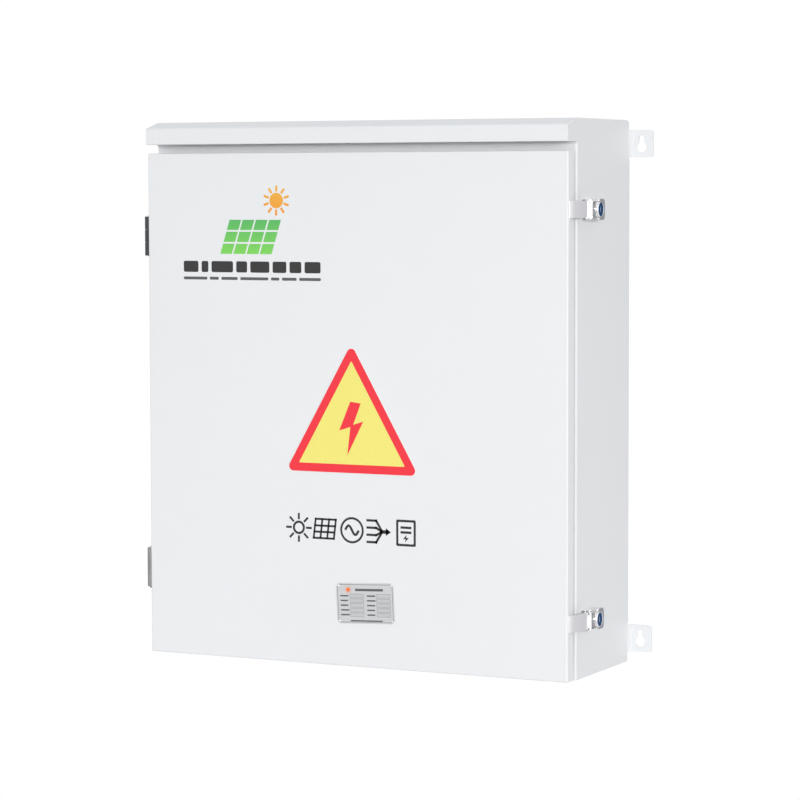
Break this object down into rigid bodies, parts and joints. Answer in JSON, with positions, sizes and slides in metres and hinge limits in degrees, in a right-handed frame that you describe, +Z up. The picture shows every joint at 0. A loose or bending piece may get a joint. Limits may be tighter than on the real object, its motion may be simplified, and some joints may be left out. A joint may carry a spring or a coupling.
{
  "type": "photovoltaic combiner box",
  "caption": "Wall-mounted sheet-steel combiner box with a rain hood, a side-latched hinged door, keyhole wall tabs, and breakers, busbars and surge protection inside.",
  "frame": {"origin": "centre of the back panel's outer face", "axes": "+Z up, +Y from the door towards the wall, +X to the right of someone facing the door"},
  "size_m": [0.6614, 0.2102, 0.7023],
  "materials": {
    "powder_coat": "satin powder coat with a fine orange-peel",
    "galvanised_sheet": "galvanised sheet with faint spangle",
    "zinc_plate": "bright zinc plating",
    "dark_zinc": "dark passivated zinc",
    "latch_chrome": "satin chrome on die-cast zinc",
    "key_blue": "moulded blue face on the key plug",
    "black_rubber": "EPDM rubber",
    "moulded_plastic": "moulded polystyrene",
    "sign_yellow": "printed vinyl",
    "plate_silver": "brushed aluminium label",
    "breaker_black": "thermoset moulding, fine grain",
    "toggle_black": "moulded black plastic",
    "trip_red": "moulded red plastic",
    "copper_bar": null,
    "copper_braid": null,
    "brass_bar": "extruded brass",
    "red_insulator": "glass-filled polyester, red",
    "clear_guard": "clear polycarbonate sheet",
    "arrester_grey": "moulded grey plastic",
    "breaker_white": "moulded off-white plastic",
    "toggle_blue": "moulded blue plastic"
  },
  "bodies": {
    "enclosure": {"enclosure_shell": "powder_coat", "wall_tab_upper_left": "powder_coat", "wall_tab_bolt_upper_left": "zinc_plate", "wall_tab_upper_right": "powder_coat", "wall_tab_bolt_upper_right": "zinc_plate", "wall_tab_lower_left": "powder_coat", "wall_tab_bolt_lower_left": "zinc_plate", "wall_tab_lower_right": "powder_coat", "wall_tab_bolt_lower_right": "zinc_plate", "mounting_plate": "galvanised_sheet", "gland_plate": "powder_coat", "cable_membrane": "black_rubber", "hinge_body_leaf_upper": "dark_zinc", "hinge_pin_upper": "zinc_plate", "latch_base_upper": "latch_chrome", "latch_pin_upper": "zinc_plate", "hinge_body_leaf_lower": "dark_zinc", "hinge_pin_lower": "zinc_plate", "latch_base_lower": "latch_chrome", "latch_pin_lower": "zinc_plate", "input_breaker_1": "breaker_black", "input_breaker_2": "breaker_black", "input_breaker_3": "breaker_black", "input_breaker_4": "breaker_black", "main_breaker": "breaker_black", "busbar_l1": "copper_bar", "busbar_l2": "copper_bar", "busbar_l3": "copper_bar", "busbar_support_left": "red_insulator", "busbar_support_right": "red_insulator", "busbar_guard": "clear_guard", "din_rail": "zinc_plate", "surge_arrester": "arrester_grey", "surge_breaker": "breaker_white", "earth_bar": "brass_bar", "neutral_bar": "brass_bar", "earth_strap": "copper_braid"},
    "door": {"door_panel": "powder_coat", "door_gasket": "black_rubber", "document_pocket": "moulded_plastic", "warning_sign": "sign_yellow", "rating_plate": "plate_silver", "hinge_door_leaf_upper": "dark_zinc", "latch_keeper_upper": "latch_chrome", "hinge_door_leaf_lower": "dark_zinc", "latch_keeper_lower": "latch_chrome"},
    "upper_latch_lever": {"latch_lever_upper": "latch_chrome"},
    "upper_latch_claw": {"latch_claw_upper": "latch_chrome"},
    "upper_key_plug": {"latch_key_plug_upper": "key_blue"},
    "lower_latch_lever": {"latch_lever_lower": "latch_chrome"},
    "lower_latch_claw": {"latch_claw_lower": "latch_chrome"},
    "lower_key_plug": {"latch_key_plug_lower": "key_blue"},
    "input_lever_1": {"input_toggle_1": "toggle_black"},
    "input_lever_2": {"input_toggle_2": "toggle_black"},
    "input_lever_3": {"input_toggle_3": "toggle_black"},
    "input_lever_4": {"input_toggle_4": "toggle_black"},
    "main_lever": {"main_toggle": "toggle_black"},
    "trip_button": {"main_trip_button": "trip_red"},
    "surge_lever": {"surge_breaker_toggle": "toggle_blue"}
  },
  "joints": [
    {"name": "door_hinge", "type": "hinge", "parent": "enclosure", "child": "door", "pos_m": [-0.3105, -0.177, -0.01925], "axis": [0, 0, -1], "range_deg": [0, 160]},
    {"name": "upper_latch_lever_pivot", "type": "hinge", "parent": "enclosure", "child": "upper_latch_lever", "pos_m": [0.3055, -0.1575, 0.23675], "axis": [0, 0, -1], "range_deg": [0, 90]},
    {"name": "lower_latch_lever_pivot", "type": "hinge", "parent": "enclosure", "child": "lower_latch_lever", "pos_m": [0.3055, -0.1575, -0.27625], "axis": [0, 0, -1], "range_deg": [0, 90]},
    {"name": "upper_latch_claw_pivot", "type": "hinge", "parent": "upper_latch_lever", "child": "upper_latch_claw", "pos_m": [0.3115, -0.156, 0.23675], "axis": [0, 0, -1], "range_deg": [-113, 0]},
    {"name": "lower_latch_claw_pivot", "type": "hinge", "parent": "lower_latch_lever", "child": "lower_latch_claw", "pos_m": [0.3115, -0.156, -0.27625], "axis": [0, 0, -1], "range_deg": [-113, 0]},
    {"name": "upper_key_turn", "type": "hinge", "parent": "upper_latch_lever", "child": "upper_key_plug", "pos_m": [0.312, -0.138, 0.23675], "axis": [1, 0, 0], "range_deg": [0, 90]},
    {"name": "lower_key_turn", "type": "hinge", "parent": "lower_latch_lever", "child": "lower_key_plug", "pos_m": [0.312, -0.138, -0.27625], "axis": [1, 0, 0], "range_deg": [0, 90]},
    {"name": "input_toggle_1_throw", "type": "hinge", "parent": "enclosure", "child": "input_lever_1", "pos_m": [-0.15, -0.083, -0.18], "axis": [1, 0, 0], "range_deg": [0, 32]},
    {"name": "input_toggle_2_throw", "type": "hinge", "parent": "enclosure", "child": "input_lever_2", "pos_m": [-0.05, -0.083, -0.18], "axis": [1, 0, 0], "range_deg": [0, 32]},
    {"name": "input_toggle_3_throw", "type": "hinge", "parent": "enclosure", "child": "input_lever_3", "pos_m": [0.05, -0.083, -0.18], "axis": [1, 0, 0], "range_deg": [0, 32]},
    {"name": "input_toggle_4_throw", "type": "hinge", "parent": "enclosure", "child": "input_lever_4", "pos_m": [0.15, -0.083, -0.18], "axis": [1, 0, 0], "range_deg": [0, 32]},
    {"name": "main_toggle_throw", "type": "hinge", "parent": "enclosure", "child": "main_lever", "pos_m": [-0.11, -0.109, 0.15], "axis": [1, 0, 0], "range_deg": [0, 32]},
    {"name": "trip_button_push", "type": "slide", "parent": "enclosure", "child": "trip_button", "axis": [0, 1, 0], "range_m": [0, 0.002], "stiffness_N_per_m": 50, "springref_m": -0.0005},
    {"name": "surge_toggle_throw", "type": "hinge", "parent": "enclosure", "child": "surge_lever", "pos_m": [0.063, -0.08425, 0.15], "axis": [1, 0, 0], "range_deg": [0, 36]}
  ],
  "couplings": [
    {"joint": "upper_latch_claw_pivot", "follows": "upper_latch_lever_pivot", "ratio": -1.25},
    {"joint": "lower_latch_claw_pivot", "follows": "lower_latch_lever_pivot", "ratio": -1.25}
  ]
}
